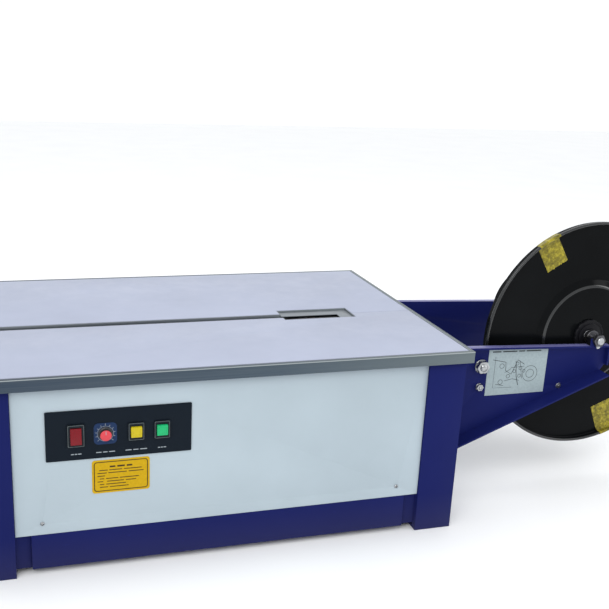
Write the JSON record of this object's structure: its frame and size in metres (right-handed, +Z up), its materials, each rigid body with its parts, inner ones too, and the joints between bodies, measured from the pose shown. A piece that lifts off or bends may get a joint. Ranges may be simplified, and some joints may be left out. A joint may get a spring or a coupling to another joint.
{
  "type": "semi automatic strapping machine",
  "caption": "Low steel table with a strap slot and sealing head in its top, a control panel on its front, and an empty strap reel on two arms at its right end.",
  "frame": {"origin": "on the floor, below the centre of the overall box", "axes": "+X along the machine towards the reel, +Y away from the operator, +Z up"},
  "size_m": [1.503, 0.62, 0.5655],
  "materials": {
    "blue_paint": "semi-gloss powder coat",
    "panel_paint": "satin powder coat",
    "table_paint": "satin powder coat, lightly rubbed",
    "trim_steel": "brushed along its length",
    "zinc": "bright zinc plate",
    "machined_steel": "machined, lightly oiled",
    "reel_black": "high-gloss black enamel",
    "core_black": "satin black",
    "tape": "clear yellow adhesive tape",
    "label_white": "printed, semi-matte",
    "label_yellow": "printed, semi-matte",
    "control_black": "satin, printed marks",
    "dial_blue": "printed scale",
    "bezel_plastic": "moulded",
    "rocker_red": "translucent, illuminated",
    "knob_plastic": "moulded with a red cap",
    "button_yellow": "translucent lens",
    "button_green": "translucent lens",
    "dark_plastic": "moulded",
    "nylon": "turned nylon",
    "cast": "painted casting",
    "motor_blue": "painted casting",
    "belt_rubber": "moulded",
    "spring_steel": "blackened spring steel",
    "heater_steel": "heat-tinted steel"
  },
  "bodies": {
    "machine": {"front_legs": "blue_paint", "rear_legs": "blue_paint", "bottom_rails": "blue_paint", "base_plate": "trim_steel", "table_frame": "blue_paint", "table_trim": "trim_steel", "front_panel": "panel_paint", "rear_panel": "panel_paint", "left_panel": "panel_paint", "right_end_plate": "panel_paint", "panel_screws": "zinc", "cable_gland": "dark_plastic", "strap_channel": "trim_steel", "head_surround": "trim_steel", "head_cover_plate": "trim_steel", "table_pivot_pins": "zinc", "control_plate": "control_black", "switch_bodies": "dark_plastic", "dial_plate": "dial_blue", "switch_bezels": "bezel_plastic", "caution_label": "label_yellow", "front_reel_arm": "blue_paint", "rear_reel_arm": "blue_paint", "arm_bolts": "zinc", "reel_axle": "zinc", "axle_nuts": "spring_steel", "threading_label": "label_white", "guide_shafts": "zinc", "reel_brake": "spring_steel", "head_side_plates": "machined_steel", "head_block": "machined_steel", "gearbox": "cast", "drive_motor": "motor_blue", "drive_belt": "belt_rubber", "feed_frame": "machined_steel", "strap_pool": "trim_steel", "control_box": "panel_paint"},
    "front_plate": {"front_table_plate": "table_paint"},
    "rear_plate": {"rear_table_plate": "table_paint"},
    "rocker": {"power_rocker": "rocker_red"},
    "knob": {"length_knob": "knob_plastic"},
    "reset": {"reset_button": "button_yellow"},
    "feed": {"feed_button": "button_green"},
    "reel": {"front_flange": "reel_black", "rear_flange": "reel_black", "reel_core": "core_black", "reel_hub": "core_black", "hub_clamp_nut": "core_black", "packing_tape": "tape"},
    "roller": {"guide_roller": "nylon"},
    "gripper_left": {"left_gripper": "machined_steel"},
    "press_middle": {"middle_press": "machined_steel"},
    "gripper_right": {"right_gripper": "machined_steel"},
    "anvil": {"slide_anvil": "machined_steel"},
    "heater": {"heater_blade": "heater_steel"},
    "cams": {"camshaft": "machined_steel"},
    "gear_pulley": {"gearbox_pulley": "machined_steel"},
    "drive_pulley": {"motor_pulley": "machined_steel"},
    "feed_wheel": {"feed_roller": "machined_steel"},
    "pinch_wheel": {"pinch_roller": "belt_rubber"}
  },
  "joints": [
    {"name": "front_plate_lift", "type": "hinge", "parent": "machine", "child": "front_plate", "pos_m": [-0.3015, -0.2965, 0.358], "axis": [1, 0, 0], "range_deg": [0, 78]},
    {"name": "rear_plate_lift", "type": "hinge", "parent": "machine", "child": "rear_plate", "pos_m": [-0.3015, 0.2965, 0.358], "axis": [-1, 0, 0], "range_deg": [0, 78]},
    {"name": "rocker_tilt", "type": "hinge", "parent": "machine", "child": "rocker", "pos_m": [-0.5655, -0.2995, 0.2535], "axis": [1, 0, 0], "range_deg": [0, 20]},
    {"name": "knob_turn", "type": "hinge", "parent": "machine", "child": "knob", "pos_m": [-0.5175, -0.298, 0.2535], "axis": [0, 1, 0], "range_deg": [-135, 135]},
    {"name": "reset_push", "type": "slide", "parent": "machine", "child": "reset", "axis": [0, 1, 0], "range_m": [0, 0.004], "stiffness_N_per_m": 600, "springref_m": -0.0015},
    {"name": "feed_push", "type": "slide", "parent": "machine", "child": "feed", "axis": [0, 1, 0], "range_m": [0, 0.004], "stiffness_N_per_m": 600, "springref_m": -0.0015},
    {"name": "reel_spin", "type": "hinge", "parent": "machine", "child": "reel", "pos_m": [0.5085, -0.041, 0.3225], "axis": [0, 1, 0], "continuous": true},
    {"name": "guide_roller_spin", "type": "hinge", "parent": "machine", "child": "roller", "pos_m": [0.2485, -0.041, 0.277], "axis": [0, 1, 0], "continuous": true},
    {"name": "left_gripper_lift", "type": "slide", "parent": "machine", "child": "gripper_left", "axis": [0, 0, 1], "range_m": [0, 0.0095]},
    {"name": "middle_press_lift", "type": "slide", "parent": "machine", "child": "press_middle", "axis": [0, 0, 1], "range_m": [0, 0.0095]},
    {"name": "right_gripper_lift", "type": "slide", "parent": "machine", "child": "gripper_right", "axis": [0, 0, 1], "range_m": [0, 0.0095]},
    {"name": "anvil_slide", "type": "slide", "parent": "machine", "child": "anvil", "axis": [0, 1, 0], "range_m": [0, 0.028]},
    {"name": "heater_slide", "type": "slide", "parent": "machine", "child": "heater", "axis": [0, 1, 0], "range_m": [-0.022, 0]},
    {"name": "motor_spin", "type": "hinge", "parent": "machine", "child": "drive_pulley", "pos_m": [-0.3575, -0.119, 0.0825], "axis": [0, 1, 0], "continuous": true},
    {"name": "gearbox_input_spin", "type": "hinge", "parent": "machine", "child": "gear_pulley", "pos_m": [-0.1875, -0.119, 0.158], "axis": [0, 1, 0], "continuous": true},
    {"name": "camshaft_spin", "type": "hinge", "parent": "machine", "child": "cams", "pos_m": [-0.0645, -0.041, 0.2], "axis": [1, 0, 0], "continuous": true},
    {"name": "feed_roller_spin", "type": "hinge", "parent": "machine", "child": "feed_wheel", "pos_m": [0.0605, -0.041, 0.25], "axis": [0, 1, 0], "continuous": true},
    {"name": "pinch_roller_spin", "type": "hinge", "parent": "machine", "child": "pinch_wheel", "pos_m": [0.0605, -0.041, 0.295], "axis": [0, 1, 0], "continuous": true}
  ],
  "couplings": [
    {"joint": "gearbox_input_spin", "follows": "motor_spin", "ratio": 0.5},
    {"joint": "camshaft_spin", "follows": "motor_spin", "ratio": 0.02},
    {"joint": "pinch_roller_spin", "follows": "feed_roller_spin", "ratio": -1.4444}
  ]
}
